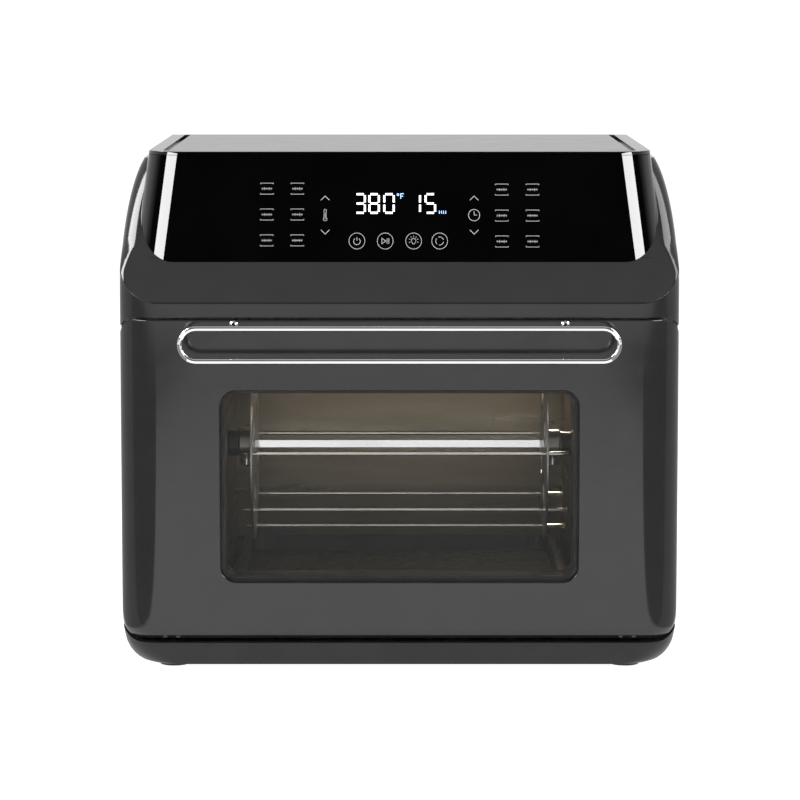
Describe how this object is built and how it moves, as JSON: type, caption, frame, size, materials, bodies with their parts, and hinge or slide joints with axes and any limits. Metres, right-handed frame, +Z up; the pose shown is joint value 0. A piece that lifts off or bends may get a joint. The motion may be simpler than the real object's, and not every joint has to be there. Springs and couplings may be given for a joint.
{
  "type": "rotisserie oven",
  "caption": "Countertop hot-air oven with a drop-down glass door, a sloped touch panel, a convection fan and a motor-turned rotisserie spit with skewers.",
  "frame": {"origin": "middle of the bounding box in X and Y, on the surface the feet stand on", "axes": "+Z up, -Y out of the front (the door and the control panel face -Y), +X to the right as seen from the front"},
  "size_m": [0.368, 0.355, 0.341],
  "materials": {
    "gloss_charcoal": "gloss",
    "charcoal_plastic": "satin",
    "panel_black": "high gloss",
    "top_plate": "gloss",
    "chrome": "polished",
    "steel": "satin",
    "zinc_steel": "satin",
    "dark_steel": "oxidised",
    "nonstick": "satin",
    "aluminium": "satin",
    "glass": "clear",
    "black_plastic": "satin",
    "rubber": "matt",
    "silicone": "matt",
    "board_green": "satin",
    "display_black": "gloss",
    "motor_grey": "satin"
  },
  "bodies": {
    "base": {"base_plinth": "charcoal_plastic", "cavity_front_frame": "zinc_steel", "cavity_lamp": "glass", "control_board": "board_green", "control_panel": "panel_black", "cord_inlet": "black_plastic", "display_module": "display_black", "door_seal": "silicone", "door_switch_body": "black_plastic", "drip_tray": "nonstick", "element_guard": "zinc_steel", "fan_motor": "motor_grey", "foot_front_left": "rubber", "foot_front_right": "rubber", "foot_rear_left": "rubber", "foot_rear_right": "rubber", "heating_element": "dark_steel", "hinge_bracket_left": "zinc_steel", "hinge_bracket_right": "zinc_steel", "idler_bearing": "dark_steel", "lamp_lens": "glass", "main_housing": "gloss_charcoal", "motor_bracket": "zinc_steel", "oven_cavity": "steel", "power_board": "board_green", "rear_cover": "charcoal_plastic", "rotisserie_motor": "motor_grey", "temperature_sensor": "chrome", "top_panel": "top_plate"},
    "door": {"door_outer_frame": "gloss_charcoal", "door_glass_outer": "glass", "window_bezel": "black_plastic", "door_glass_inner": "glass", "door_inner_panel": "steel", "door_handle": "chrome", "handle_post_left": "chrome", "handle_post_right": "chrome", "hinge_pin_left": "zinc_steel", "hinge_pin_right": "zinc_steel"},
    "spit": {"drive_socket": "dark_steel", "rotisserie_shaft": "steel", "spit_wheel_left": "zinc_steel", "spit_wheel_right": "zinc_steel", "skewer_1": "chrome", "skewer_2": "chrome", "skewer_3": "chrome", "skewer_4": "chrome", "skewer_5": "chrome", "skewer_6": "chrome", "skewer_7": "chrome", "skewer_8": "chrome"},
    "left_screw": {"thumbscrew_left": "chrome"},
    "right_screw": {"thumbscrew_right": "chrome"},
    "fan_rotor": {"convection_fan": "aluminium", "cooling_fan": "zinc_steel", "fan_shaft": "chrome"},
    "switch_plunger": {"door_switch_plunger": "chrome"}
  },
  "joints": [
    {"name": "door_hinge", "type": "hinge", "parent": "base", "child": "door", "pos_m": [0, -0.1375, 0.0287], "axis": [1, 0, 0], "range_deg": [0, 85]},
    {"name": "rotisserie_spin", "type": "hinge", "parent": "base", "child": "spit", "pos_m": [0, 0.0105, 0.133], "axis": [1, 0, 0], "continuous": true},
    {"name": "thumbscrew_left_turn", "type": "hinge", "parent": "spit", "child": "left_screw", "pos_m": [-0.1065, 0.0105, 0.133], "axis": [0, 0, -1], "range_deg": [0, 360]},
    {"name": "thumbscrew_right_turn", "type": "hinge", "parent": "spit", "child": "right_screw", "pos_m": [0.1065, 0.0105, 0.133], "axis": [0, 0, -1], "range_deg": [0, 360]},
    {"name": "fan_spin", "type": "hinge", "parent": "base", "child": "fan_rotor", "pos_m": [0, 0.0169, 0.263], "axis": [0, 0, 1], "continuous": true},
    {"name": "plunger_press", "type": "slide", "parent": "base", "child": "switch_plunger", "axis": [0, 1, 0], "range_m": [0, 0.0025], "stiffness_N_per_m": 300}
  ]
}
